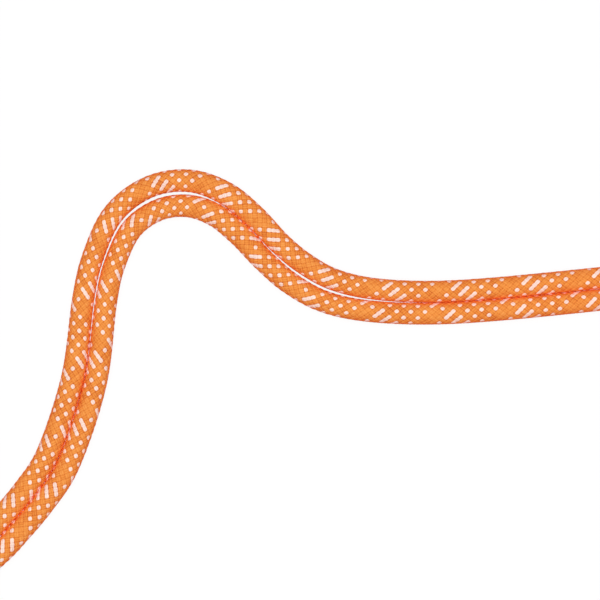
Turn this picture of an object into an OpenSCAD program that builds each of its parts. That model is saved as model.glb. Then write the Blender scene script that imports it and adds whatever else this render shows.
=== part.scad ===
// Dynamic climbing rope of the half-rope kind, bought length, both ends side by side.
// Kernmantle construction: a braided sheath round a core of twisted strands, with a
// thin marker tape between them. The two ends run beside each other along an S-shaped
// route, and the rest of the rope lies in a flat round coil just past that route.
//
// Axes: +X along the whole object, from the rope's ends towards the coil, +Z up.
// Z = 0 is the ground. Every size is in millimetres.

/* [Rope] */
// Diameter over the sheath
rope_d = 8; // [7.6:0.1:8.4]
// Thickness of the braided sheath
sheath_wall = 1; // [0.8:0.1:1.2]

/* [Core] */
// Free space between the core strands and the sheath
core_clearance = 0.1; // [0.05:0.05:0.2]
// Free space between neighbouring core strands
strand_gap = 0.05; // [0.02:0.01:0.1]
// Width of the marker tape
tape_w = 1.2; // [0.8:0.1:1.4]
// Thickness of the marker tape
tape_t = 0.15; // [0.1:0.01:0.2]

/* [Ends] */
// Length of the shrunk band on each end
band_len = 25; // [15:1:35]
// Thickness of the band
band_wall = 0.3; // [0.2:0.05:0.5]
// Free space between the sheath's corners and the band
band_clearance = 0.05; // [0.03:0.01:0.1]
// Bare rope on each side of the band
band_margin = 2; // [1:0.5:5]
// Length of the fused tip
tip_len = 5; // [4:0.5:8]
// Rounding of the fused tip's edge
tip_round = 1.5; // [1:0.1:2.5]

/* [Coil] */
// Diameter of the coil's open middle
coil_bore_d = 56; // [50:1:62]
// Loops side by side, from the middle outwards
coil_columns = 8; // [6:1:9]
// Layers of loops, from the ground up
coil_layers = 10; // [6:1:12]
// Free space between neighbouring loops
turn_gap = 0.5; // [0.45:0.05:0.8]
// How far the rope swings out where it drops over the coil's top edge
edge_swing = 0.45; // [0.4:0.05:0.6]
// Free space between the outer loops and the wound body that they lie on
seat_gap = 0.25; // [0.2:0.05:0.4]

/* [Hidden] */
$fn = 96;

// ---- Route of the two strands ----
// Middle line between them, as x, y and the free space between their surfaces there.
// Strand A lies on its left, seen along +X, and strand B on its right.
route = [
  [-203, -58, 0.7], [-192, -45, 0.7], [-182.5, -30, 0.7], [-173, -1, 0.7],
  [-169, 29, 0.6], [-165.5, 44, 0.6], [-158.5, 58.5, 0.9], [-147, 67, 1.3],
  [-134, 69, 1.4], [-122, 65, 1.0], [-112, 57, 0.8], [-102.5, 47, 0.8],
  [-93, 39, 1.1], [-81, 32.5, 1.0], [-65, 29, 0.5], [-42.5, 28, 0.2],
  [-16.5, 29.5, 0.2], [22, 33.3, 0.2]
];
// Rings of the tubes on each step of the route
route_rings = 2;
// Directions in which the ends of A and B point, and the length of the bend before them
end_heading = [205, 222];
end_bend = 12;
// Axis of the coil
coil_xy = [150, 0];

// ---- Rope section ----
rope_r = rope_d / 2;
sheath_sides = 12;
sheath_bore_r = rope_r - sheath_wall;
// Across the flats of its twelve sides, the sheath has the rope's diameter
sheath_corner = 1 / cos(180 / sheath_sides);
// Seven equal strands, one in the middle and six round it, fill the sheath's bore
strand_d = (2 * (sheath_bore_r - core_clearance) - 2 * strand_gap) / 3;
strand_ring_r = strand_d + strand_gap;
// The tape lies in the groove between two outer strands, against the sheath
tape_out = sqrt(pow(sheath_bore_r - core_clearance / 2, 2) - pow(tape_w / 2, 2));
tape_angle = 30;

// ---- Ends ----
band_r_in = rope_r * sheath_corner + band_clearance;
band_r_out = band_r_in + band_wall;
end_len = band_len + 2 * band_margin;

// ---- Coil ----
loop_rings = 24;
loop_sides = 6;
pitch = rope_d + turn_gap;
first_r = coil_bore_d / 2 + turn_gap / 2 + rope_r;
last_r = first_r + (coil_columns - 1) * pitch;
function row_z(row) = rope_r + (row - 1) * pitch;
// Half height of a loop's six-sided section, which lies on a flat
flat_r = rope_r * cos(180 / loop_sides);
spiral_turns = coil_columns - 2;
helix_turns = coil_layers - 3;
// Length along the outer loop on which B starts to sink to the ground
sink_run = 30;

// ---- Geometry helpers ----
function dir(a) = [cos(a), sin(a)];
function left(a) = [-sin(a), cos(a)];
function smooth(t) = t * t * (3 - 2 * t);
function clamp01(t) = min(1, max(0, t));

// A station is a point of a centre line and its heading: [x, y, z, heading]
function station(p, z, heading) = [p.x, p.y, z, heading];

// Smooth curve through the points p, and its heading, at part t of step i
function knot(p, i) = p[min(max(i, 0), len(p) - 1)];
function curve(p, i, t) =
  let (a = knot(p, i - 1), b = knot(p, i), c = knot(p, i + 1), d = knot(p, i + 2))
  (2 * b + (c - a) * t + (2 * a - 5 * b + 4 * c - d) * t * t
    + (3 * b - a - 3 * c + d) * t * t * t) / 2;
function slope(p, i, t) =
  let (a = knot(p, i - 1), b = knot(p, i), c = knot(p, i + 1), d = knot(p, i + 2))
  (c - a + 2 * (2 * a - 5 * b + 4 * c - d) * t + 3 * (3 * b - a - 3 * c + d) * t * t) / 2;

// ---- Centre lines of the strands ----
// side is 1 for A and -1 for B
function run_station(side, i, t) =
  let (p = curve(route, i, t), v = slope(route, i, t), h = atan2(v.y, v.x))
  station([p.x, p.y] + side * (rope_r + p[2] / 2) * left(h), rope_r, h);
function run(side) = [
  for (i = [0:len(route) - 2], k = [0:route_rings - 1]) run_station(side, i, k / route_rings),
  run_station(side, len(route) - 2, 1)
];

// Point on the bend between the route and an end's straight, at part f of the bend.
// It is walked backwards, from the route out to the end.
function end_point(side, f) =
  let (
    s = run_station(side, 0, 0),
    h0 = s[3] + 180,
    turn = end_heading[side > 0 ? 0 : 1] - h0,
    r = end_bend / (turn * PI / 180)
  )
  [s.x, s.y] + r * [sin(h0 + turn * f) - sin(h0), cos(h0) - cos(h0 + turn * f)];
function end_turn(side, f) =
  let (h0 = run_station(side, 0, 0)[3] + 180)
  h0 + (end_heading[side > 0 ? 0 : 1] - h0) * f;
// The rope rises by the band's thickness, so that the band rests on the ground
function end_station(side, f, along = 0) =
  station(
    end_point(side, f) + along * dir(end_turn(side, f)),
    rope_r + (band_r_out - rope_r) * smooth(f),
    end_turn(side, f) + 180
  );
function strand(side) = concat(
  [end_station(side, 1, end_len), end_station(side, 1), end_station(side, 0.5)],
  run(side)
);
strand_a = strand(1);
strand_b = strand(-1);

// ---- Centre lines of the coil ----
// Each lead leaves its strand straight for one diameter, then follows one arc that
// touches the coil's outer loop from outside.
function lead_start(s) = [s.x, s.y] + rope_d * dir(s[3]) - coil_xy;
function lead_r(p, n) = (p * p - last_r * last_r) / (2 * (last_r - p * n));
a_end = strand_a[len(strand_a) - 1];
b_end = strand_b[len(strand_b) - 1];
a_start = lead_start(a_end);
b_start = lead_start(b_end);
a_lead_r = lead_r(a_start, left(a_end[3]));
b_lead_r = lead_r(b_start, -left(b_end[3]));
a_centre = a_start + a_lead_r * left(a_end[3]);
b_centre = b_start - b_lead_r * left(b_end[3]);
// Where A joins the outer loop and B leaves it. Both go round clockwise.
a_phi = atan2(a_centre.y, a_centre.x);
b_phi = (atan2(b_centre.y, b_centre.x) + 360) % 360;

function on_circle(r, phi, z) = station(coil_xy + r * dir(phi), z, phi - 90);
function on_arc(centre, r, heading, z) =
  station(coil_xy + centre - r * left(heading), z, heading);

// Strand A's lead, then one loop that draws in by one column and ends square to the
// step of the inner loops
a_lead = [
  a_end,
  for (k = [0:6]) on_arc(a_centre, a_lead_r, a_end[3] + (a_phi - 90 - a_end[3]) * k / 6, row_z(1))
];
first_loop = [
  for (i = [0:loop_rings - 1])
    on_circle(last_r - pitch * i / loop_rings, a_phi - 360 * i / loop_rings, row_z(1)),
  station(
    coil_xy + (last_r - pitch) * dir(a_phi) - rope_d * dir(a_phi - 90), row_z(1), a_phi - 90
  ),
  on_circle(last_r - pitch, a_phi, row_z(1))
];
first_turn = concat([for (i = [0:len(a_lead) - 2]) a_lead[i]], first_loop);

// Top layer: starts square on the step of the inner loops and spirals out to the edge.
// The straight start lies in by as much as it swings out again on its way.
top_phi = b_phi + sink_run / last_r * 180 / PI + 180;
top_start_r = sqrt(pow(first_r + pitch, 2) - rope_d * rope_d);
top_z = row_z(coil_layers);
spiral = [
  on_circle(top_start_r, top_phi, top_z),
  station(
    coil_xy + top_start_r * dir(top_phi) + rope_d * dir(top_phi - 90), top_z, top_phi - 90
  ),
  for (i = [2:spiral_turns * loop_rings])
    on_circle(first_r + pitch + pitch * i / loop_rings, top_phi - 360 * i / loop_rings, top_z)
];
// Outer wall: a helix that sinks by one layer a turn, with turns counted from the edge
function wall_z(turns) = row_z(coil_layers - 1) - pitch * (turns - 0.5);
// Half a turn in which the rope drops over the edge and meets the helix
drop = [
  for (i = [1:loop_rings / 2]) let (u = i / loop_rings)
    on_circle(
      last_r + edge_swing * sin(180 * min(1, 4 * u)),
      top_phi - 360 * u,
      max(top_z - pitch * sin(180 * u), wall_z(u))
    )
];
helix = [
  for (i = [1:helix_turns * loop_rings])
    on_circle(last_r, top_phi - 180 - 360 * i / loop_rings, wall_z(0.5 + i / loop_rings))
];
// Strand B's lead: it sinks to the ground while it leaves the loop
b_turn = b_end[3] + 180 - (b_phi - 90);
b_arc = b_lead_r * b_turn * PI / 180;
function sink_z(x) =
  row_z(2) - pitch * smooth(clamp01((x + sink_run) / (sink_run + b_arc)));
b_lead = [
  for (k = [1:3]) let (x = -sink_run * (1 - k / 3))
    on_circle(last_r, b_phi - x / last_r * 180 / PI, sink_z(x)),
  for (k = [1:8])
    on_arc(b_centre, b_lead_r, b_phi - 90 + b_turn * k / 8, sink_z(b_arc * k / 8)),
  station([b_end.x, b_end.y], rope_r, b_end[3] + 180)
];
outer_turns = concat(spiral, drop, helix, b_lead);

// ---- Clearances, measured between centre lines ----
function xyz(s) = [s.x, s.y, s.z];
function least(a, b) = min([for (p = a, q = b) norm(xyz(p) - xyz(q))]) - rope_d;
function least_to_itself(a, skip) =
  min([for (i = [0:len(a) - 1], j = [i + skip:1:len(a) - 1]) norm(xyz(a[i]) - xyz(a[j]))]) - rope_d;
function path_length(a) = [for (i = [1:len(a) - 1]) norm(xyz(a[i]) - xyz(a[i - 1]))];
function sum(v, i = 0) = i < len(v) ? v[i] + sum(v, i + 1) : 0;
echo(outer_turns_gap_to_itself = least_to_itself(outer_turns, loop_rings / 2));
echo(first_turn_gap_to_itself = least_to_itself(first_turn, loop_rings / 2));
echo(first_turn_to_outer_turns = least(first_turn, outer_turns));
echo(strand_a_to_strand_b = least(strand_a, strand_b));
echo(strand_lengths = [sum(path_length(strand_a)), sum(path_length(strand_b))]);
echo(lead_radii = [a_lead_r, b_lead_r], joins = [a_phi, b_phi], coil_radius = last_r + rope_r);

// ---- Tubes ----
// Sections are lists of [left, up] points
function polygon_section(r, n, at = [0, 0], turn = 0) =
  [for (i = [0:n - 1]) at + r * dir(turn + 360 * i / n)];
function ring(s, section) = [
  for (q = section) [s.x - q.x * sin(s[3]), s.y + q.x * cos(s[3]), s.z + q.y]
];
// The two triangles of each side between ring j and ring j + 1 of n points
function side_faces(m, n, first = 0, inside = false) = [
  for (j = [0:m - 2], i = [0:n - 1])
    let (
      a = first + j * n + i,
      b = first + j * n + (i + 1) % n,
      c = a + n,
      d = b + n
    )
    each inside ? [[a, d, c], [a, b, d]] : [[a, c, d], [a, d, b]]
];

// Closed tube of one section along the stations
module tube(stations, section) {
  n = len(section);
  m = len(stations);
  last = (m - 1) * n;
  polyhedron(
    points = [for (s = stations) each ring(s, section)],
    faces = concat(
      [for (i = [1:n - 2]) [0, i, i + 1]],
      [for (i = [1:n - 2]) [last, last + i + 1, last + i]],
      side_faces(m, n)
    ),
    convexity = 6
  );
}

// Tube with a bore, open at both ends
module hollow_tube(stations, outside, bore) {
  n = len(outside);
  m = len(stations);
  last = (m - 1) * n;
  inner = m * n;
  polyhedron(
    points = concat(
      [for (s = stations) each ring(s, outside)],
      [for (s = stations) each ring(s, bore)]
    ),
    faces = concat(
      side_faces(m, n),
      side_faces(m, n, inner, true),
      [for (i = [0:n - 1]) let (k = (i + 1) % n)
        each [[i, k, inner + k], [i, inner + k, inner + i]]],
      [for (i = [0:n - 1]) let (k = (i + 1) % n)
        each [[last + i, inner + last + k, last + k], [last + i, inner + last + i, inner + last + k]]]
    ),
    convexity = 6
  );
}

// ---- Sheath ----
module sheath(stations) {
  turn = 180 / sheath_sides;
  hollow_tube(
    stations,
    polygon_section(rope_r * sheath_corner, sheath_sides, turn = turn),
    polygon_section(sheath_bore_r * sheath_corner, sheath_sides, turn = turn)
  );
}
module strand_a_sheath() color("#EC8947") sheath(strand_a);
module strand_b_sheath() color("#EC8947") sheath(strand_b);

// ---- Core ----
// Strand 1 is in the middle, 2 to 7 lie round it. Each runs through both stretches.
module core_strand(k) {
  at = k == 1 ? [0, 0] : strand_ring_r * dir(60 * (k - 2));
  section = polygon_section(strand_d / 2, loop_sides, at, 30);
  color("#F4F1E8") {
    tube(strand_a, section);
    tube(strand_b, section);
  }
}
module marker_tape() {
  corners = [
    [tape_out - tape_t, -tape_w / 2], [tape_out, -tape_w / 2],
    [tape_out, tape_w / 2], [tape_out - tape_t, tape_w / 2]
  ];
  c = cos(tape_angle);
  s = sin(tape_angle);
  section = [for (q = corners) [c * q.x - s * q.y, s * q.x + c * q.y]];
  color("#E9D25A") {
    tube(strand_a, section);
    tube(strand_b, section);
  }
}

// ---- Coil ----
loop_section = polygon_section(rope_r, loop_sides);
module coil_first_turn() color("#EC8947") tube(first_turn, loop_section);
module coil_outer_turns() color("#EC8947") tube(outer_turns, loop_section);

// Outline of the inner loops of one layer, just inside the loop that winds round them.
// The step where the last point meets the first is what that loop's end lies against.
function inside_of(stations) = [
  for (s = stations) [s.x, s.y] - (rope_r + turn_gap) * left(s[3])
];
module coil_inner_turns() {
  foot_h = row_z(1) + flat_r + seat_gap;
  drum_r = (last_r - rope_r) * cos(180 / loop_rings) - seat_gap;
  drum_top = top_z - flat_r - seat_gap;
  color("#D9732F")
    difference() {
      union() {
        linear_extrude(foot_h)
          polygon(inside_of(first_loop));
        translate([coil_xy.x, coil_xy.y, foot_h])
          cylinder(r = drum_r, h = drum_top - foot_h);
        translate([0, 0, drum_top])
          linear_extrude(top_z + rope_r - drum_top)
            polygon(inside_of([for (i = [0:loop_rings]) spiral[i]]));
      }
      translate([coil_xy.x, coil_xy.y, -1])
        cylinder(d = coil_bore_d, h = top_z + rope_r + 2);
    }
}

// ---- Ends ----
// Children are drawn along +Z from the start of the end's straight
module on_end(side) {
  s = end_station(side, 1);
  translate([s.x, s.y, s.z])
    rotate([0, 90, s[3] + 180])
      children();
}
module end_band(side) {
  color("#26262A")
    on_end(side)
      translate([0, 0, band_margin])
        difference() {
          cylinder(r = band_r_out, h = band_len);
          translate([0, 0, -1])
            cylinder(r = band_r_in, h = band_len + 2);
        }
}
// Sheath and core melted together, with a rounded edge
module end_tip(side) {
  color("#B5541F")
    on_end(side)
      translate([0, 0, end_len])
        rotate_extrude() {
          square([rope_r - tip_round, tip_len]);
          square([rope_r, tip_len - tip_round]);
          translate([rope_r - tip_round, tip_len - tip_round])
            intersection() {
              circle(tip_round);
              square(tip_round);
            }
        }
}
module end_band_a() end_band(1);
module end_band_b() end_band(-1);
module end_tip_a() end_tip(1);
module end_tip_b() end_tip(-1);

strand_a_sheath();
strand_b_sheath();
core_strand(1);  // core_strand_1
core_strand(2);  // core_strand_2
core_strand(3);  // core_strand_3
core_strand(4);  // core_strand_4
core_strand(5);  // core_strand_5
core_strand(6);  // core_strand_6
core_strand(7);  // core_strand_7
marker_tape();
coil_first_turn();
coil_outer_turns();
coil_inner_turns();
end_band_a();
end_band_b();
end_tip_a();
end_tip_b();
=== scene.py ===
import bpy
import math
import numpy as np
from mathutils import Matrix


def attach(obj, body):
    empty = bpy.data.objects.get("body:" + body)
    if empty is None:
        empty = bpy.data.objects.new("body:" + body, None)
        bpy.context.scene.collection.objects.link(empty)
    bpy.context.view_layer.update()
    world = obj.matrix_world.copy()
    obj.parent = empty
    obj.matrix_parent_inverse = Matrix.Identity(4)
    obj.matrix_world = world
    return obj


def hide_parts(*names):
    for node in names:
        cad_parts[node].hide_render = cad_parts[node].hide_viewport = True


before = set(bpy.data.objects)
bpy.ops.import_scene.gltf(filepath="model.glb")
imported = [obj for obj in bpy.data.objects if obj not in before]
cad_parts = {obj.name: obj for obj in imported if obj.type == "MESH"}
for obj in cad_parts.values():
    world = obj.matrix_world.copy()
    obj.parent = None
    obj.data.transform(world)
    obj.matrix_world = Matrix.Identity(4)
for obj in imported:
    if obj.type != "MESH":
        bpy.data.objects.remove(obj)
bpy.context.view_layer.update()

scene = bpy.context.scene
MM = 0.001


# ---- Camera ----
# Looks straight down at the S-shaped run of the two strands. Its frame is 225 mm wide at
# the height of the ropes' middle, so the ends and the coil lie outside it.

look_at = (-92, 29, 4)
camera_height = 1200
view_width = 225
sensor_width = 36
camera_data = bpy.data.cameras.new("camera")
camera_data.sensor_width = sensor_width
camera_data.lens = sensor_width * camera_height / view_width
camera = bpy.data.objects.new("camera", camera_data)
scene.collection.objects.link(camera)
camera.location = (look_at[0] * MM, look_at[1] * MM, (look_at[2] + camera_height) * MM)
scene.camera = camera
scene.view_settings.view_transform = "Standard"


# ---- Sheath of the two strands ----
# The rope's outside: forty polyamide yarns braided two by two, ten pairs each way round,
# over the core. Each strand lies on the ground beside the other one, and is pressed a
# little flat by its own weight.

# Middle line between the strands: x, y, free space between them, and how much of that
# space still shows from above now that they are flattened, all in mm
route = np.array([
    (-203, -58, 0.7, 0.05), (-192, -45, 0.7, 0.05), (-182.5, -30, 0.7, 0.05),
    (-173, -1, 0.7, 0.06), (-169, 29, 0.6, 0.34), (-165.5, 44, 0.6, 0.44),
    (-158.5, 58.5, 0.9, 0.75), (-147, 67, 1.3, 1.1), (-134, 69, 1.4, 0.95),
    (-122, 65, 1.0, 0.2), (-112, 57, 0.8, 0.02), (-102.5, 47, 0.8, 0.3),
    (-93, 39, 1.1, 0.7), (-81, 32.5, 1.0, 0.78), (-65, 29, 0.5, 0.42),
    (-42.5, 28, 0.2, 0.04), (-16.5, 29.5, 0.2, 0.04), (22, 33.3, 0.2, 0.04),
])
run_steps = 80
rope_d = 8
rope_r = rope_d / 2
sheath_wall = 1

# Strand a lies left of the middle line, as side 1, and strand b right of it, as side -1.
# Past the route each end bends to a heading of its own, and then runs straight.
end_heading = {1: 205, -1: 222}
end_bend = 12
end_straight = 29
bend_rings = 40
straight_rings = 60
# Under its band the rope is round again, and the band holds it up
band_outer_r = 4.491
banded_d = 7.94


def smooth(t):
    """Goes from 0 to 1 as t does, with a gentle start and stop."""
    t = np.clip(t, 0, 1)
    return t * t * (3 - 2 * t)


def direction(degrees):
    """x and y of a step of 1 with that heading."""
    a = np.radians(degrees)
    return np.stack([np.cos(a), np.sin(a)], -1)


def left_of(degrees):
    """x and y of a step of 1 to the left of that heading."""
    return direction(np.asarray(degrees) + 90)


def lengths_along(points):
    """Length along a line of points, at each of them."""
    return np.concatenate([[0], np.cumsum(np.linalg.norm(np.diff(points, axis=0), axis=1))])


def run_line(side):
    """Centre line of a strand's run, as x, y, heading and width, from its end to the coil."""
    points = np.concatenate([route[:1], route, route[-1:]])
    at, along = [], []
    # A smooth curve from b to c, which heads from a to c at b, and from b to d at c
    for i in range(len(route) - 1):
        a, b, c, d = points[i:i + 4]
        first, second, third = c - a, 2 * a - 5 * b + 4 * c - d, 3 * b - a - 3 * c + d
        last_piece = i == len(route) - 2
        t = np.arange(run_steps + last_piece)[:, None] / run_steps
        at.append((2 * b + first * t + second * t ** 2 + third * t ** 3) / 2)
        along.append((first + 2 * second * t + 3 * third * t ** 2) / 2)
    at, along = np.concatenate(at), np.concatenate(along)
    heading = np.degrees(np.arctan2(along[:, 1], along[:, 0]))
    xy = at[:, :2] + side * (rope_r + at[:, 2:3] / 2) * left_of(heading)
    width = rope_d + at[:, 2] - np.maximum(at[:, 3], 0)
    return xy, heading, width


def strand_line(side, spacing):
    """Rings of a strand from its tip to the coil: x, y, z, heading, width, height, and length
    from the start of its run."""
    xy, heading, width = run_line(side)
    back = heading[0] + 180
    turn = end_heading[side] - back
    radius = end_bend / math.radians(turn)
    bent = np.linspace(1, 0, bend_rings, endpoint=False)
    out = back + turn * bent
    bend = xy[0] + radius * np.stack([
        np.sin(np.radians(out)) - np.sin(np.radians(back)),
        np.cos(np.radians(back)) - np.cos(np.radians(out))], -1)
    far = np.linspace(end_straight, 0, straight_rings, endpoint=False)[:, None]
    xy = np.concatenate([bend[0] + far * direction(out[0]), bend, xy])
    heading = np.concatenate([np.full(straight_rings, out[0] + 180), out + 180, heading])
    heading = np.degrees(np.unwrap(np.radians(heading)))
    banded = smooth(np.concatenate([np.ones(straight_rings), bent, np.zeros(len(width))]))
    width = np.concatenate([np.full(straight_rings + bend_rings, width[0]), width])
    width = banded_d + (width - banded_d) * (1 - banded)
    height = rope_d ** 2 / width * (1 - banded) + banded_d * banded
    z = height / 2 * (1 - banded) + band_outer_r * banded
    length = lengths_along(xy)
    at = np.linspace(0, length[-1], int(round(length[-1] / spacing)) + 1)
    rows = [np.interp(at, length, v) for v in (xy[:, 0], xy[:, 1], z, heading, width, height)]
    return np.stack(rows + [at - end_straight - end_bend], -1)


# The braid's own coordinates: across and along its two families of yarn pairs. A pair of
# one family has a whole number of b, one of the other a whole number of a.
lay = 26.5
pairs = 10
# How far a pair's middle stands above its edges, how far it rises and falls as it crosses
# the others, and how much of that the sheath's surface takes off to keep its diameter
crown = 0.13
crossing_rise = 0.1
mean_rise = 0.14
# The pairs lie a little closer together on top than on the sides
top_crowding = 0.05
# How the tracer pattern lies along each strand: length from the start of the run, and
# what a and b have slipped by there
slip_a = {
    1: ((0, 4.6), (72, 5.4), (97, 5.7), (122, 5.75), (148, 6.0), (174, 5.35), (199, 4.85),
        (223, 4.25), (249, 3.8), (330, 3.8)),
    -1: ((0, 9.0), (77, 9.4), (106, 9.8), (132, 9.8), (160, 9.6), (183, 8.8), (208, 8.25),
         (236, 8.6), (322, 8.6)),
}
slip_b = {
    1: ((0, 6.3), (72, 4.9), (97, 4.2), (122, 3.9), (148, 3.1), (174, 2.1), (199, 1.5),
        (223, 0.85), (249, 0.3), (275, 0), (330, 0)),
    -1: ((0, 12.0), (79, 11.0), (106, 10.4), (132, 10.1), (160, 8.7), (182, 7.9), (207, 7.35),
         (237, 7.0), (322, 7.1)),
}


def braid_place(side, length, around):
    """a and b at a length along a strand and a part of a turn, from the top to the left."""
    u = length / lay
    a = pairs * (u + around) - np.interp(length, *zip(*slip_a[side]))
    b = pairs * (u - around) - np.interp(length, *zip(*slip_b[side]))
    return a, b


def braid_rise(a, b):
    """Height of the braid's upper yarn pair there."""
    p, q = np.round(a), np.round(b)
    one = crown * (1 - 4 * (b - q) ** 2) - crossing_rise * np.cos(math.pi * (a + q))
    two = crown * (1 - 4 * (a - p) ** 2) + crossing_rise * np.cos(math.pi * (b + p))
    return np.maximum(one, two)


def ring_angles(sides):
    """Angles of a ring's points, from the top to the left, and the part of a turn that the
    braid has gone round by each."""
    angle = np.linspace(-math.pi, math.pi, sides + 1)
    return angle, (angle + top_crowding * np.sin(2 * angle)) / (2 * math.pi)


def grid_faces(rings, sides, first=0, inside=False):
    """Quads between rings of points that close on themselves."""
    r = np.arange(rings - 1)[:, None] * sides + first
    i = np.arange(sides)[None]
    a, b = r + i, r + (i + 1) % sides
    quads = np.stack([a, b, b + sides, a + sides], -1).reshape(-1, 4)
    return quads[:, ::-1] if inside else quads


def grid_uv(a, b, inside=False):
    """UVs of the same quads, from rings that have one point more, where they close."""
    uv = np.stack([a, b], -1)
    corners = [uv[:-1, :-1], uv[:-1, 1:], uv[1:, 1:], uv[1:, :-1]]
    if inside:
        corners.reverse()
    return np.stack(corners, -2).reshape(-1, 2)


def new_mesh(name, points, faces, uv=None):
    """Object of these points in mm, smooth shaded, with the braid's coordinates as its UVs."""
    mesh = bpy.data.meshes.new(name)
    mesh.from_pydata((np.asarray(points) * MM).tolist(), [], [list(map(int, f)) for f in faces])
    mesh.shade_smooth()
    if uv is not None:
        layer = mesh.uv_layers.new(name="braid")
        layer.uv.foreach_set("vector", np.asarray(uv, np.float32).ravel())
    mesh.update()
    piece = bpy.data.objects.new(name, mesh)
    scene.collection.objects.link(piece)
    return piece


def oval(line, angle, grow):
    """Points round each ring, at angles from the top to the left. The section is as wide
    and as high as the line says, plus grow on every side."""
    across = (line[:, 4:5] / 2 + grow) * np.sin(angle)
    up = (line[:, 5:6] / 2 + grow) * np.cos(angle)
    side_x, side_y = left_of(line[:, 3]).T
    return np.stack([line[:, 0:1] + across * side_x[:, None],
                     line[:, 1:2] + across * side_y[:, None],
                     line[:, 2:3] + up], -1)


ring_spacing = 0.36
sheath_sides = 72
# The bore is coarser than the outside, by so many rings and so many sides
bore_rings = 8
bore_step = 3
# The relief runs out over this length at the coil, whose braid is drawn by its material
relief_end = 12
# Nothing lies lower than this above the ground
ground_gap = 0.02


def strand_sheath(side, name):
    """The braided tube of a strand, and its line."""
    line = strand_line(side, ring_spacing)
    angle, around = ring_angles(sheath_sides)
    a, b = braid_place(side, line[:, 6:7], around)
    raised = smooth((line[-1, 6] - line[:, 6:7]) / relief_end)
    outer = oval(line, angle, (braid_rise(a, b) - mean_rise) * raised)
    outer[..., 2] = np.maximum(outer[..., 2], ground_gap)
    kept = np.unique(np.r_[0:len(line):bore_rings, len(line) - 1])
    inner = oval(line[kept], angle[::bore_step], -sheath_wall)
    bore_sides = sheath_sides // bore_step
    first_in = len(line) * sheath_sides
    points = np.concatenate([outer[:, :-1].reshape(-1, 3), inner[:, :-1].reshape(-1, 3)])
    faces = grid_faces(len(line), sheath_sides).tolist()
    faces += grid_faces(len(kept), bore_sides, first_in, inside=True).tolist()
    uv = [grid_uv(a, b), grid_uv(a[kept][:, ::bore_step], b[kept][:, ::bore_step], inside=True)]
    # At each end, flat faces join every side of the bore to three of the outside
    for ring, bore_ring in ((0, 0), (len(line) - 1, len(kept) - 1)):
        low = first_in + bore_ring * bore_sides
        for i in range(bore_sides):
            outside = [bore_step * i + j for j in range(bore_step + 1)]
            face = [ring * sheath_sides + j % sheath_sides for j in outside]
            face += [low + (i + 1) % bore_sides, low + i]
            where = [(a[ring, j], b[ring, j]) for j in outside + [outside[-1], outside[0]]]
            if ring == 0:
                face.reverse()
                where.reverse()
            faces.append(face)
            uv.append(np.array(where))
    piece = new_mesh(name, points, faces, np.concatenate(uv))
    # How much of the braid's relief is in the mesh here. The material draws the rest.
    loft = piece.data.attributes.new("loft", "FLOAT", "POINT")
    values = np.concatenate([np.repeat(raised[:, 0], sheath_sides),
                             np.repeat(raised[kept, 0], bore_sides)])
    loft.data.foreach_set("value", values.astype(np.float32))
    return piece, line


def linear(code):
    """Linear colour of an sRGB hex value."""
    values = [int(code[i:i + 2], 16) / 255 for i in (1, 3, 5)]
    return [v / 12.92 if v <= 0.04045 else ((v + 0.055) / 1.055) ** 2.4 for v in values] + [1]


def add(tree, kind, values=None, out=0, stops=(), **settings):
    """Adds a node, gives its sockets these values or links, and its ramp these stops, and
    returns its output."""
    node = tree.nodes.new("ShaderNode" + kind)
    for name, value in settings.items():
        setattr(node, name, value)
    for socket, value in (values or {}).items():
        if isinstance(value, bpy.types.NodeSocket):
            tree.links.new(value, node.inputs[socket])
        else:
            node.inputs[socket].default_value = value
    for i, (place, colour) in enumerate(stops):
        if i == len(node.color_ramp.elements):
            node.color_ramp.elements.new(1)
        node.color_ramp.elements[i].position = place
        node.color_ramp.elements[i].color = linear(colour)
    return node.outputs[out]


def new_material(name, colour, roughness, **sockets):
    """Material with one Principled surface, whose even values are set on its own sockets."""
    material = bpy.data.materials.new(name)
    material.use_nodes = True
    surface = material.node_tree.nodes["Principled BSDF"]
    surface.inputs["Base Color"].default_value = linear(colour)
    surface.inputs["Roughness"].default_value = roughness
    for socket, value in sockets.items():
        surface.inputs[socket.replace("_", " ")].default_value = value
    return material, material.node_tree, surface


# Polyamide sheath yarn: dyed filaments that lie flat in each yarn. It is dull. Its colour
# is painted with shade: darker and redder where the yarns go under each other, and darker
# towards each yarn's edges. Its sheen is red, for the light that comes through loose
# filaments along the rope's edge. Four of the ten pairs one way and one pair the other way
# are undyed tracers.
sheath_yarn, tree, surface = new_material(
    "polyamide_sheath_yarn", "#F09346", 0.75, IOR=1.53, Specular_IOR_Level=0.1,
    Sheen_Weight=0.9, Sheen_Roughness=0.65, Sheen_Tint=(1, 0.06, 0.01, 1))
place = add(tree, "SeparateXYZ", {0: add(tree, "UVMap", uv_map="braid")}).node
a, b = place.outputs[0], place.outputs[1]
p = add(tree, "Math", {0: a}, operation="ROUND")
q = add(tree, "Math", {0: b}, operation="ROUND")
from_p = add(tree, "Math", {0: a, 1: p}, operation="SUBTRACT")
from_q = add(tree, "Math", {0: b, 1: q}, operation="SUBTRACT")
heights = []
for off, along, lane, sign in ((from_q, a, q, -1), (from_p, b, p, 1)):
    square = add(tree, "Math", {0: off, 1: off}, operation="MULTIPLY")
    domed = add(tree, "Math", {0: square, 1: -4 * crown, 2: crown}, operation="MULTIPLY_ADD")
    turn = add(tree, "Math", {0: along, 1: lane})
    turn = add(tree, "Math", {0: turn, 1: math.pi}, operation="MULTIPLY")
    wave = add(tree, "Math", {0: turn}, operation="COSINE")
    heights.append(add(tree, "Math", {0: wave, 1: sign * crossing_rise, 2: domed},
                       operation="MULTIPLY_ADD"))
first_on_top = add(tree, "Math", {0: heights[0], 1: heights[1]}, operation="GREATER_THAN")
height = add(tree, "Math", {0: heights[0], 1: heights[1]}, operation="MAXIMUM")
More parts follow.
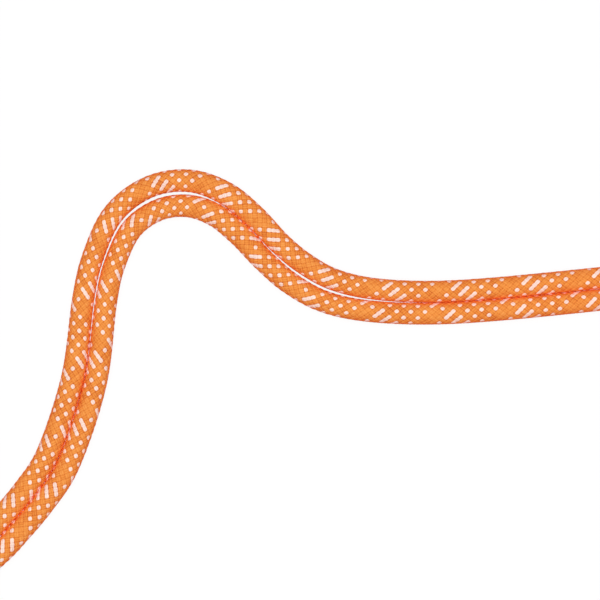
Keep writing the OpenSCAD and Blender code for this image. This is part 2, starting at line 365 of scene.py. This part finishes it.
across = add(tree, "Mix", {0: first_on_top, 2: from_p, 3: from_q})
along = add(tree, "Mix", {0: first_on_top, 2: b, 3: a})

# Each pair's number round the rope, from 0 to 9 and half a step up, and whether it is an
# even one of the first family or an odd one of the second
p_round, q_round = (
    add(tree, "Math", {0: add(tree, "Math", {0: lane, 1: 0.5}), 1: pairs}, operation="FLOORED_MODULO")
    for lane in (p, q))
p_twos, q_twos = (
    add(tree, "Math", {0: lane, 1: 2}, operation="FLOORED_MODULO") for lane in (p_round, q_round))
p_odd = add(tree, "Math", {0: p_twos, 1: 1}, operation="GREATER_THAN")
q_even = add(tree, "Math", {0: q_twos, 1: 1}, operation="LESS_THAN")

# The undyed floats: rounded ones where a tracer goes over a dyed pair, and a bar of three
# where the one tracer of the other family crosses it between two of them
past_first = add(tree, "Math", {0: q_round, 1: 1}, operation="GREATER_THAN")
not_dyed = add(tree, "Math", {0: q_even, 1: past_first}, operation="MULTIPLY")
crossing = add(tree, "Math", {0: p_round, 1: 1}, operation="LESS_THAN")
crossing = add(tree, "Math", {0: crossing, 1: q_even}, operation="MULTIPLY")
from_crossing = add(tree, "Math", {0: a, 1: pairs / 2, 2: -pairs / 2}, operation="WRAP")
over_dyed = add(tree, "Math", {0: not_dyed, 1: p_odd}, operation="MULTIPLY")
float_tone = add(tree, "TexWhiteNoise", {"Vector": add(tree, "CombineXYZ", {0: p, 1: q})},
                 noise_dimensions="2D")
uneven = add(tree, "Math", {0: float_tone, 1: 0.3, 2: -0.15}, operation="MULTIPLY_ADD")
# Where each float lies, how far a point is from its middle, its half size along a and
# along b, and how square its corners are
floats = (
    (over_dyed, from_p, 0.45, 0.41, 2.4),
    (crossing, from_p, 0.41, 0.45, 2.4),
    (not_dyed, from_crossing, 1.46, 0.37, 5),
)
tracer = 0.0
for where, off_a, half_a, half_b, corner in floats:
    shares = []
    for off, half in ((off_a, half_a), (from_q, half_b)):
        off = add(tree, "Math", {0: off}, operation="ABSOLUTE")
        share = add(tree, "Math", {0: off, 1: half}, operation="DIVIDE")
        shares.append(add(tree, "Math", {0: share, 1: corner}, operation="POWER"))
    reach = add(tree, "Math", {0: shares[0], 1: shares[1]})
    reach = add(tree, "Math", {0: reach, 1: uneven})
    inside = add(tree, "MapRange", {"Value": reach, "From Min": 1.25, "From Max": 0.75})
    inside = add(tree, "Math", {0: inside, 1: where}, operation="MULTIPLY")
    tracer = add(tree, "Math", {0: inside, 1: tracer}, operation="MAXIMUM")

# A tone for each pair, the two yarns side by side in it, and their filaments. A pair is
# 1.8 mm wide, so its filaments are drawn about 0.1 mm wide, coarser than the real 0.03 mm,
# so that they show. Slow patches, some 11 mm across, run over all of it.
filaments = 18
second_pair = add(tree, "Math", {0: p_round, 1: 2 * pairs})
pair = add(tree, "Mix", {0: first_on_top, 2: second_pair, 3: q_round})
pair_tone = add(tree, "TexWhiteNoise", {"W": pair}, noise_dimensions="1D")
# Each yarn's rounding: its bump, and painted shade that darkens the yarn towards its edges
yarn_off = add(tree, "Math", {0: across}, operation="ABSOLUTE")
yarn_off = add(tree, "Math", {0: yarn_off, 1: 4, 2: -1}, operation="MULTIPLY_ADD")
yarn_off = add(tree, "Math", {0: yarn_off, 1: yarn_off}, operation="MULTIPLY")
yarn_round = add(tree, "Math", {0: 1, 1: yarn_off}, operation="SUBTRACT")
fibre_place = add(tree, "CombineXYZ", {
    0: add(tree, "Math", {0: across, 1: filaments}, operation="MULTIPLY"),
    1: add(tree, "Math", {0: along, 1: 1.6}, operation="MULTIPLY"),
    2: pair})
fibres = add(tree, "TexNoise", {
    "Vector": fibre_place, "Scale": 1, "Detail": 2, "Roughness": 0.6})
patches = add(tree, "TexNoise", {
    "Vector": add(tree, "TexCoord", out="Object"), "Scale": 90, "Detail": 3})

# The painted shade is mostly the braid's height: low places are painted darker and redder,
# as shade. The rest shifts it, by a factor and an offset: random tones, and the yarns'
# rounding, which is painted shade too.
painted_shade = add(tree, "Math", {0: height, 1: 1.5, 2: 0.36}, operation="MULTIPLY_ADD")
for shift, factor, offset in (
        (pair_tone, 0.16, -0.08), (float_tone, 0.24, -0.12), (fibres, 0.8, -0.4),
        (patches, 0.3, -0.15), (yarn_round, 0.3, -0.22)):
    shift = add(tree, "Math", {0: shift, 1: factor, 2: offset}, operation="MULTIPLY_ADD")
    painted_shade = add(tree, "Math", {0: shift, 1: painted_shade})
# Painted shade: each ramp's darker stop colours the braid's low places and the yarns' edges
dyed_with_painted_shade = add(tree, "ValToRGB", {0: painted_shade}, stops=((0.1, "#BA4A1B"), (0.55, "#ED913E"), (0.95, "#F7A554")))
undyed_with_painted_shade = add(tree, "ValToRGB", {0: painted_shade}, stops=((0.1, "#F2CAB6"), (0.75, "#FFEADF")))
colour = add(tree, "Mix", {0: tracer, 6: dyed_with_painted_shade, 7: undyed_with_painted_shade}, out=2, data_type="RGBA")
tree.links.new(colour, surface.inputs["Base Color"])

# Where the mesh doesn't carry the braid's height, the bump does
loft = add(tree, "Attribute", out="Fac", attribute_name="loft")
drawn = add(tree, "Math", {0: 1, 1: loft}, operation="SUBTRACT")
drawn = add(tree, "Math", {0: drawn, 1: height}, operation="MULTIPLY")
drawn = add(tree, "Math", {0: yarn_round, 1: 0.08, 2: drawn}, operation="MULTIPLY_ADD")
drawn = add(tree, "Math", {0: fibres, 1: 0.06, 2: drawn}, operation="MULTIPLY_ADD")
bump = add(tree, "Bump", {"Height": drawn, "Strength": 1, "Distance": MM})
tree.links.new(bump, surface.inputs["Normal"])

sheath_pieces = {}
for side, name in ((1, "strand_a"), (-1, "strand_b")):
    piece, line = strand_sheath(side, name)
    piece.data.materials.append(sheath_yarn)
    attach(piece, "root")
    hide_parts(name + "_sheath")
    sheath_pieces[side] = piece, line


# ---- Coil ----
# The rest of the thirty metres, wound into a flat round coil: a first layer on the ground,
# eight more with seven loops each, a top layer, and a wall of loops that goes back down.

coil_xy = np.array([150, 0])
pitch = 8.5
first_r = 32.25
layer_turns = 6
layer_r = first_r + layer_turns * pitch
last_r = layer_r + pitch
coil_layers = 10
# The wall goes down one pitch on each of its turns
wall_turns = coil_layers - 2.5
# Drawn as thick as the crowns of the strands' braid, since it has no relief of its own
coil_d = 8.2
# How far above the ground layer the wall's last loop ends, in pitches, and how long before
# it leaves the coil for strand b the rope starts to sink to the ground
wall_foot = 0.52
sink_run = 30
# Straight rope between each strand and its arc to the coil, with a ring on every 2 mm
lead = 8
lead_step = 2
# Rings on each turn of the loops that show, on each of those inside, and on the way in
# and out
seen_rings = 84
inner_rings = 28
arc_in_rings = 20
sink_rings = 8
arc_out_rings = 22


def row_z(row):
    """Height of a layer, to the middle of its rope. The first lies on the ground."""
    return rope_r + (row - 1) * pitch


def arc_to_coil(end, side):
    """Centre and radius of the arc from a strand's end that touches the outer loop, and the
    angle where it does."""
    start = end[:2] + lead * direction(end[3]) - coil_xy
    across = side * left_of(end[3])
    radius = (start @ start - last_r ** 2) / (2 * (last_r - start @ across))
    centre = start + radius * across
    return centre, radius, math.degrees(math.atan2(centre[1], centre[0])) % 360


a_end = sheath_pieces[1][1][-1]
b_end = sheath_pieces[-1][1][-1]
a_centre, a_radius, a_join = arc_to_coil(a_end, 1)
b_centre, b_radius, b_join = arc_to_coil(b_end, -1)
b_turn = b_end[3] % 360 + 180 - (b_join - 90)
b_arc = b_radius * math.radians(b_turn)
# Where the top layer starts, so that its loops and the wall's bring the rope to strand b.
# Each climb takes the same part of a turn. Together they take five turns, and as much more
# as ends there.
top_start = b_join + math.degrees(sink_run / last_r) + 360 * wall_turns
climb = ((a_join - top_start) / 360 % 1 + 5) / (coil_layers - 1)
climb_swing = 1.6


def wall_z(turns):
    """Height of the wall's loops, so many turns before they reach strand b's place. The
    last loop lies partly beside the first turn, which has drawn in by then."""
    return row_z(1) + pitch * (wall_foot + turns)


def sink_z(x):
    """Height of the last loop as it sinks, at a length x past the start of the arc out."""
    return row_z(1) + pitch * wall_foot * (1 - smooth((x + sink_run) / (sink_run + b_arc)))


coil_line = []


def wind(start, turns, radius, height, per_turn=seen_rings):
    """Adds turns, clockwise from the angle start, and gives the angle where they end. Radius
    and height are functions of the turns and of the share that are done."""
    for done in np.linspace(0, turns, int(turns * per_turn), endpoint=False):
        share = done / turns
        xy = coil_xy + radius(done, share) * direction(start - 360 * done)
        coil_line.append(np.append(xy, height(done, share)))
    return start - 360 * turns


def climb_to(row, start):
    """Climbs to that layer, in the middle to an even one and outside to an odd one. In the
    middle the rope swings in a little, past the loops beside it."""
    in_middle = row % 2 == 0
    r = first_r if in_middle else layer_r
    swing = climb_swing if in_middle else 0
    return wind(start, climb, lambda n, x: r - swing * math.sin(math.pi * x),
                lambda n, x: row_z(row - 1) + pitch * smooth(x),
                seen_rings if in_middle else inner_rings)


for d in range(0, lead, lead_step):
    coil_line.append(np.append(a_end[:2] + d * direction(a_end[3]), row_z(1)))
for k in np.linspace(0, 1, arc_in_rings, endpoint=False):
    h = a_end[3] + (a_join - 90 - a_end[3] % 360) * k
    coil_line.append(np.append(coil_xy + a_centre - a_radius * left_of(h), row_z(1)))

angle = wind(a_join, 1, lambda n, x: last_r - pitch * n, lambda n, x: row_z(1))
angle = wind(angle, layer_turns - 1, lambda n, x: layer_r - pitch * n, lambda n, x: row_z(1),
             inner_rings)
angle = wind(angle, 1, lambda n, x: first_r + pitch * (1 - n), lambda n, x: row_z(1))
for row in range(2, coil_layers):
    angle = climb_to(row, angle)
    if row % 2 == 0:
        angle = wind(angle, 1, lambda n, x: first_r + pitch * n, lambda n, x: row_z(row))
        angle = wind(angle, layer_turns - 1, lambda n, x: first_r + pitch * (n + 1),
                     lambda n, x: row_z(row), inner_rings)
    else:
        angle = wind(angle, layer_turns - 1, lambda n, x: layer_r - pitch * n,
                     lambda n, x: row_z(row), inner_rings)
        angle = wind(angle, 1, lambda n, x: first_r + pitch * (1 - n), lambda n, x: row_z(row))
angle = climb_to(coil_layers, angle)
angle = wind(angle, layer_turns, lambda n, x: first_r + pitch * n, lambda n, x: row_z(coil_layers))
# The top layer's outer loop slips down over the shoulder of the layer below, to the wall
angle = wind(
    angle, 1, lambda n, x: layer_r + pitch * math.sin(math.pi / 2 * n),
    lambda n, x: max(row_z(coil_layers - 1) + pitch * math.cos(math.pi / 2 * n),
                     wall_z(wall_turns + 1 - n)))
angle = wind(angle, wall_turns, lambda n, x: last_r, lambda n, x: wall_z(wall_turns - n))

for x in np.linspace(-sink_run, 0, sink_rings, endpoint=False):
    xy = coil_xy + last_r * direction(b_join - math.degrees(x / last_r))
    coil_line.append(np.append(xy, sink_z(x)))
for k in np.linspace(0, 1, arc_out_rings, endpoint=False):
    h = b_join - 90 + b_turn * k
    coil_line.append(np.append(coil_xy + b_centre - b_radius * left_of(h), sink_z(b_arc * k)))
for d in range(lead, -1, -lead_step):
    coil_line.append(np.append(b_end[:2] + d * direction(b_end[3]), row_z(1)))

# At both ends the round rope of the coil takes the strand's width and height
coil_line = np.array(coil_line)
coil_at = lengths_along(coil_line)
coil_length = coil_at[-1]
forward = np.gradient(coil_line, coil_at, axis=0)
forward /= np.linalg.norm(forward, axis=1)[:, None]
leftward = np.cross([0, 0, 1], forward)
leftward /= np.linalg.norm(leftward, axis=1)[:, None]
upward = np.cross(forward, leftward)
flattened_run = 40
flattened = 1 - smooth(np.minimum(coil_at, coil_length - coil_at) / flattened_run)
width = coil_d + (a_end[4] - coil_d) * flattened
height = coil_d + (a_end[5] - coil_d) * flattened
coil_line[:, 2] += (a_end[2] - rope_r) * flattened
coil_sides = 22
angle, around = ring_angles(coil_sides)
rings = (coil_line[:, None]
         + (width / 2)[:, None, None] * np.sin(angle)[None, :, None] * leftward[:, None]
         + (height / 2)[:, None, None] * np.cos(angle)[None, :, None] * upward[:, None])
rings[..., 2] = np.maximum(rings[..., 2], ground_gap)

# The braid runs on from strand a, and slips evenly so that it meets strand b's. Each face
# then takes its place within one repeat, where the numbers are small and stay exact.
a_first, b_first = braid_place(1, a_end[6], around)
a_last, b_last = braid_place(-1, b_end[6], -around)
coil_a = a_first + pairs * (coil_at[:, None] / lay)
coil_b = b_first + pairs * (coil_at[:, None] / lay)
coil_a -= (coil_a[-1, 0] + a_last[0]) % pairs * coil_at[:, None] / coil_length
coil_b -= (coil_b[-1, 0] + b_last[0]) % pairs * coil_at[:, None] / coil_length
uv = grid_uv(coil_a, coil_b).reshape(-1, 4, 2)
uv -= pairs * np.floor(uv.mean(1, keepdims=True) / pairs)
cap_uv = [np.stack([coil_a[0, -2::-1], coil_b[0, -2::-1]], -1),
          np.stack([coil_a[-1, :-1], coil_b[-1, :-1]], -1) % pairs]
last_ring = (len(coil_line) - 1) * coil_sides
caps = [list(range(coil_sides - 1, -1, -1)), [last_ring + i for i in range(coil_sides)]]
coil = new_mesh("coil", rings[:, :-1].reshape(-1, 3),
                grid_faces(len(coil_line), coil_sides).tolist() + caps,
                np.concatenate([uv.reshape(-1, 2)] + cap_uv))
coil.data.attributes.new("loft", "FLOAT", "POINT")
coil.data.materials.append(sheath_yarn)
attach(coil, "root")
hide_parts("coil_first_turn", "coil_outer_turns", "coil_inner_turns")


# ---- Core strands ----
# The part that carries the load: seven strands inside the sheath, each twisted from three
# bundles of undyed polyamide filaments. They lie in the bore of both strands, and the coil
# is drawn closed.

core_strand_d = 1.9
core_ring_r = 1.95
core_twist = 9
core_sides = 12
bundle_dip = 0.06
core_spacing = 0.9

# Polyamide core yarn: undyed and bright, with soft shadows between its filaments. They are
# drawn about 0.4 mm apart, coarser than the real 0.03 mm, so that they show.
core_yarn, tree, surface = new_material(
    "polyamide_core_yarn", "#F1EEE4", 0.55, IOR=1.53, Sheen_Weight=0.3, Sheen_Roughness=0.4)
fibres = add(tree, "TexNoise", {
    "Vector": add(tree, "TexCoord", out="Object"), "Scale": 2500, "Detail": 2, "Distortion": 0.4})
tone = add(tree, "ValToRGB", {0: fibres}, stops=((0.25, "#CFC8B6"), (0.7, "#FAF8F1")))
tree.links.new(tone, surface.inputs["Base Color"])
bump = add(tree, "Bump", {"Height": fibres, "Strength": 0.6, "Distance": 0.1 * MM})
tree.links.new(bump, surface.inputs["Normal"])


def in_bore(line, x, y):
    """Points at x and y in the round bore, pressed to the strand's oval."""
    press_x = (line[:, 4:5] / 2 - sheath_wall) / (rope_r - sheath_wall)
    press_y = (line[:, 5:6] / 2 - sheath_wall) / (rope_r - sheath_wall)
    side_x, side_y = left_of(line[:, 3]).T
    x, y = x * press_x, y * press_y
    return np.stack([line[:, 0:1] + x * side_x[:, None],
                     line[:, 1:2] + x * side_y[:, None],
                     line[:, 2:3] + y], -1)


def rods(name, section):
    """Closed rods along both strands. section gives the x and y of a ring's points, for
    each length along the strand."""
    points, faces = [], []
    for side in (1, -1):
        line = strand_line(side, core_spacing)
        ring = in_bore(line, *section(line[:, 6:7]))
        first, n = sum(map(len, points)), ring.shape[1]
        points.append(ring.reshape(-1, 3))
        faces += grid_faces(len(line), n, first).tolist()
        faces.append([first + i for i in range(n - 1, -1, -1)])
        faces.append([first + (len(line) - 1) * n + i for i in range(n)])
    return new_mesh(name, np.concatenate(points), faces)


def core_strand(name, middle):
    """Three bundles that twist together round that middle."""
    # Angles fall, because left is +x here and the rings turn as the sheath's do
    angle = -np.linspace(0, 2 * math.pi, core_sides, endpoint=False)

    def twisted(length):
        bundles = np.cos(3 * (angle + 2 * math.pi * length / core_twist))
        r = core_strand_d / 2 * (1 - bundle_dip + bundle_dip * bundles)
        return middle[0] + r * np.cos(angle), middle[1] + r * np.sin(angle)

    return rods(name, twisted)


for k in range(1, 8):
    middle = (0, 0) if k == 1 else core_ring_r * direction(60 * (k - 2))
    piece = core_strand(f"core_{k}", middle)
    piece.data.materials.append(core_yarn)
    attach(piece, "root")
    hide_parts(f"core_strand_{k}")


# ---- Marker tape ----
# A thin strip of yellow polyester film that runs in the groove between two core strands.
# Makers put one in so that a cut rope can still be told by year.

tape_w = 1.2
tape_t = 0.15
tape_out = 2.888
tape_angle = 30
# Part of its width over which it is flat. The rest rounds off at the edges.
tape_flat = 0.9

# Polyester tape film: smooth and a little glossy, with a faint haze from its dye, in spots
# about 1.4 mm across
tape_film, tree, surface = new_material("polyester_tape_film", "#E9D25A", 0.35, IOR=1.57)
haze = add(tree, "TexNoise", {
    "Vector": add(tree, "TexCoord", out="Object"), "Scale": 700, "Detail": 3})
tone = add(tree, "ValToRGB", {0: haze}, stops=((0.3, "#CDB23E"), (0.7, "#F0DC6E")))
tree.links.new(tone, surface.inputs["Base Color"])
bump = add(tree, "Bump", {"Height": haze, "Strength": 0.3, "Distance": 0.1 * MM})
tree.links.new(bump, surface.inputs["Normal"])


def tape_section(length):
    """The same flat section with rounded edges, at every length."""
    half_w, half_t = tape_w / 2, tape_t / 2
    flat = half_w * tape_flat
    corners = np.array([(-half_t, flat), (0, half_w), (half_t, flat), (half_t, 0),
                        (half_t, -flat), (0, -half_w), (-half_t, -flat), (-half_t, 0)])
    out, along = (corners + (tape_out - half_t, 0)).T
    c, s = direction(tape_angle)
    return c * out - s * along, s * out + c * along


tape = rods("tape", tape_section)
tape.data.materials.append(tape_film)
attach(tape, "root")
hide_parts("marker_tape")


# ---- End bands ----
# A black polyolefin sleeve shrunk on 2 mm from each end. It grips the sheath and its wall
# follows the braid a little, with rolled edges where it shrank most.

band_length = 25
band_margin = 2
band_wall = 0.24
# How far the wall sinks in all over, what share of the braid's rise it follows, and how
# far and over what length its edges draw in
band_sunk = 0.16
band_follow = 0.55
edge_drawn_in = 0.14
edge_run = 1.5

# Shrunk polyolefin sleeve: nearly black and satin, with a grain about 1 mm across and slow
# waves about 6 mm across, left by the heat
shrunk_sleeve, tree, surface = new_material("shrunk_polyolefin_sleeve", "#242428", 0.42, IOR=1.5)
object_at = add(tree, "TexCoord", out="Object")
grain = add(tree, "TexNoise", {"Vector": object_at, "Scale": 900, "Detail": 4, "Roughness": 0.6})
waves = add(tree, "TexNoise", {"Vector": object_at, "Scale": 160, "Detail": 1})
tone = add(tree, "ValToRGB", {0: grain}, stops=((0.3, "#1B1B1E"), (0.75, "#34343A")))
tree.links.new(tone, surface.inputs["Base Color"])
gloss = add(tree, "Math", {0: grain, 1: 0.25, 2: 0.3}, operation="MULTIPLY_ADD")
tree.links.new(gloss, surface.inputs["Roughness"])
relief = add(tree, "Math", {0: grain, 1: 0.3, 2: waves}, operation="MULTIPLY_ADD")
bump = add(tree, "Bump", {"Height": relief, "Strength": 0.5, "Distance": 0.2 * MM})
tree.links.new(bump, surface.inputs["Normal"])


def select_edges(piece, wanted):
    """Opens the piece in edit mode with only those edges selected whose ends are wanted."""
    bpy.context.tool_settings.mesh_select_mode = (False, True, False)
    bpy.ops.object.mode_set(mode="EDIT")
    bpy.ops.mesh.select_all(action="DESELECT")
    bpy.ops.object.mode_set(mode="OBJECT")
    points = piece.data.vertices
    for edge in piece.data.edges:
        edge.select = bool(wanted(*(points[v].co for v in edge.vertices)))
    bpy.ops.object.mode_set(mode="EDIT")


ripples = bpy.data.textures.new("shrink_ripples", "CLOUDS")
ripples.noise_scale = 2.6 * MM
ripples.noise_depth = 1

for side, letter in ((1, "a"), (-1, "b")):
    line = sheath_pieces[side][1]
    out = direction(end_heading[side])
    start = line[0, :2] - end_straight * out
    middle = start + (band_margin + band_length / 2) * out
    bpy.ops.object.select_all(action="DESELECT")
    bpy.ops.mesh.primitive_cylinder_add(
        vertices=72, radius=band_outer_r * MM, depth=band_length * MM, end_fill_type="NOTHING",
        location=(middle[0] * MM, middle[1] * MM, band_outer_r * MM),
        rotation=(0, math.pi / 2, math.radians(end_heading[side])))
    band = bpy.context.object
    band.name = "band_" + letter
    select_edges(band, lambda one, two: abs(one.z - two.z) > band_length * MM / 2)
    bpy.ops.mesh.subdivide(number_cuts=60)
    bpy.ops.object.mode_set(mode="OBJECT")
    # The wall sinks a little between the yarn pairs, and its edges draw in where it ends
    for v in band.data.vertices:
        x, y, z = v.co / MM
        a, b = braid_place(side, -end_bend - band_margin - band_length / 2 - z,
                           math.atan2(-y, -x) / (2 * math.pi))
        edge = 1 - smooth((band_length / 2 - abs(z)) / edge_run)
        rise = braid_rise(a, b) - mean_rise
        r = band_outer_r - band_sunk + band_follow * rise - edge_drawn_in * edge
        v.co.x *= r / band_outer_r
        v.co.y *= r / band_outer_r
    displace = band.modifiers.new("ripples", "DISPLACE")
    displace.texture = ripples
    displace.strength = 0.06 * MM
    displace.mid_level = 1.0
    solid = band.modifiers.new("wall", "SOLIDIFY")
    solid.thickness = band_wall * MM
    solid.offset = -1
    edges = band.modifiers.new("edges", "BEVEL")
    edges.width = 0.08 * MM
    edges.segments = 2
    edges.limit_method = "ANGLE"
    for name in ("ripples", "wall", "edges"):
        bpy.ops.object.modifier_apply(modifier=name)
    bpy.ops.object.transform_apply(location=True, rotation=True, scale=True)
    bpy.ops.object.shade_smooth_by_angle(angle=math.radians(40))
    band.data.materials.clear()
    band.data.materials.append(shrunk_sleeve)
    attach(band, "root")
    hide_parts("end_band_" + letter)


# ---- Fused tips ----
# Each end is cut hot, which melts sheath and core together into a hard dome, so that the
# rope can't fray. The melt is uneven, glossy, and browner than the yarn.

tip_length = 5
tip_round = 1.5
# The front is drawn up in steps towards its middle, each 0.55 mm further in
dome_step = 0.55
dome_rises = (0.28, 0.2, 0.12, 0.05)
# Radius inside which all is melted core, and the width of its edge
core_r = 1.6
core_edge = 1.6

# Melted polyamide: brown and glossy, with blotches about 2.4 mm across where it was
# hottest. The undyed core in the middle of the front has stayed paler than the sheath.
fused, tree, surface = new_material(
    "melted_polyamide", "#B5541F", 0.28, IOR=1.53, Coat_Weight=0.15)
melt = add(tree, "TexNoise", {
    "Vector": add(tree, "TexCoord", out="Object"), "Scale": 420, "Detail": 4, "Distortion": 0.6})
melted_sheath = add(tree, "ValToRGB", {0: melt}, stops=((0.3, "#7E3815"), (0.62, "#CC6A2C")))
melted_core = add(tree, "ValToRGB", {0: melt}, stops=((0.35, "#8A5A34"), (0.6, "#D8B489")))
core = add(tree, "Attribute", out="Fac", attribute_name="core")
core = add(tree, "Math", {0: melt, 1: 0.6, 2: core}, operation="MULTIPLY_ADD")
core = add(tree, "MapRange", {"Value": core, "From Min": 0.62, "From Max": 0.98})
tone = add(tree, "Mix", {0: core, 6: melted_sheath, 7: melted_core}, out=2, data_type="RGBA")
tree.links.new(tone, surface.inputs["Base Color"])
gloss = add(tree, "Math", {0: melt, 1: 0.35, 2: 0.1}, operation="MULTIPLY_ADD")
tree.links.new(gloss, surface.inputs["Roughness"])
bump = add(tree, "Bump", {"Height": melt, "Strength": 0.35, "Distance": 0.2 * MM})
tree.links.new(bump, surface.inputs["Normal"])

lumps = bpy.data.textures.new("melt_lumps", "CLOUDS")
lumps.noise_scale = 2.4 * MM
lumps.noise_depth = 0

for side, letter in ((1, "a"), (-1, "b")):
    line = sheath_pieces[side][1]
    middle = line[0, :2] + tip_length / 2 * direction(end_heading[side])
    bpy.ops.object.select_all(action="DESELECT")
    bpy.ops.mesh.primitive_cylinder_add(
        vertices=64, radius=rope_r * MM, depth=tip_length * MM,
        location=(middle[0] * MM, middle[1] * MM, band_outer_r * MM),
        rotation=(0, math.pi / 2, math.radians(end_heading[side])))
    tip = bpy.context.object
    tip.name = "tip_" + letter
    select_edges(tip, lambda one, two: one.z > 0 and two.z > 0)
    bpy.ops.mesh.bevel(offset=tip_round * MM, segments=8, affect="EDGES")
    bpy.ops.object.mode_set(mode="OBJECT")
    select_edges(tip, lambda one, two: abs(one.z - two.z) > tip_length * MM / 2)
    bpy.ops.mesh.subdivide(number_cuts=8)
    bpy.ops.object.mode_set(mode="OBJECT")
    # The edges round the flat front select its one face, which is then drawn up
    front = max(v.co.z for v in tip.data.vertices) - 0.01 * MM
    select_edges(tip, lambda one, two: one.z > front and two.z > front)
    bpy.ops.mesh.select_mode(type="FACE")
    for rise in dome_rises:
        bpy.ops.mesh.inset(thickness=dome_step * MM, depth=rise * MM)
    bpy.ops.object.mode_set(mode="OBJECT")
    rounding = tip.modifiers.new("rounding", "SUBSURF")
    rounding.levels = 1
    displace = tip.modifiers.new("lumps", "DISPLACE")
    displace.texture = lumps
    displace.strength = 0.55 * MM
    displace.mid_level = 0.8
    for name in ("rounding", "lumps"):
        bpy.ops.object.modifier_apply(modifier=name)
    # How far each point belongs to the melted core, in the middle of the front
    in_core = tip.data.attributes.new("core", "FLOAT", "POINT")
    for v in tip.data.vertices:
        r = math.hypot(v.co.x, v.co.y) / MM
        share = 1 - smooth((r - core_r) / core_edge)
        in_core.data[v.index].value = float(share) if v.co.z > 0 else 0
    bpy.ops.object.transform_apply(location=True, rotation=True, scale=True)
    bpy.ops.object.shade_smooth_by_angle(angle=math.radians(60))
    tip.data.materials.clear()
    tip.data.materials.append(fused)
    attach(tip, "root")
    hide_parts("end_tip_" + letter)


# ---- The rope's three lengths ----
# It is one rope: strand a from its tip to the coil, the coil, and strand b from the coil
# to the other tip.


for side, length, far_end in ((1, 0.369, "object"), (-1, 0.361, "bare")):
    piece, line = sheath_pieces[side]


# ---- Ground and light ----
# A plain white floor that keeps a faint shadow, one large soft lamp overhead and an even
# fill from all round. The floor is pale grey to the light, and white to what looks at it.

floor_grey = "#D0D0D0"
white = (1, 1, 1, 1)
bpy.ops.object.select_all(action="DESELECT")
bpy.ops.mesh.primitive_plane_add(size=6, location=(0, 0, 0))
floor = bpy.context.object
floor.name = "floor"
paint, tree, surface = new_material("white_floor", floor_grey, 0.9)
rays = add(tree, "LightPath").node.outputs
seen = add(tree, "Math", {0: rays["Is Camera Ray"], 1: rays["Is Glossy Ray"]}, operation="MAXIMUM")
seen = add(tree, "Math", {0: seen, 1: rays["Is Transmission Ray"]}, operation="MAXIMUM")
tone = add(tree, "Mix", {0: seen, 6: linear(floor_grey), 7: white}, out=2, data_type="RGBA")
tree.links.new(tone, surface.inputs["Base Color"])
# What looks at it sees mostly an even white glow, and a little of the paint, which takes
# the shadow. From 1.2 m out it sees the glow alone, so that no horizon shows.
from_middle = add(tree, "VectorMath", {0: add(tree, "TexCoord", out="Object")}, out="Value",
                  operation="LENGTH")
glowing = add(tree, "MapRange", {
    "Value": from_middle, "From Min": 0.4, "From Max": 1.2, "To Min": 0.92, "To Max": 1.0})
glowing = add(tree, "Math", {0: seen, 1: glowing}, operation="MULTIPLY")
glow = add(tree, "Emission", {"Color": white, "Strength": 1})
both = add(tree, "MixShader", {0: glowing, 1: surface.outputs[0], 2: glow})
tree.links.new(both, tree.nodes["Material Output"].inputs[0])
floor.data.materials.append(paint)

world = bpy.data.worlds.new("studio")
scene.world = world
world.use_nodes = True
tree = world.node_tree
fill = tree.nodes["Background"]
fill.inputs["Color"].default_value = white
fill.inputs["Strength"].default_value = 0.25
rays = add(tree, "LightPath").node.outputs
backdrop = add(tree, "Background", {"Color": white, "Strength": 1})
both = add(tree, "MixShader", {0: rays["Is Camera Ray"], 1: fill.outputs[0], 2: backdrop})
tree.links.new(both, tree.nodes["World Output"].inputs[0])

lamp_data = bpy.data.lights.new("overhead", "AREA")
lamp_data.shape = "DISK"
lamp_data.size = 1.6
lamp_data.energy = 29.8
lamp = bpy.data.objects.new("overhead", lamp_data)
lamp.location = (-0.1, 0.1, 1.7)
lamp.rotation_euler = (math.radians(-2), 0, 0)
scene.collection.objects.link(lamp)
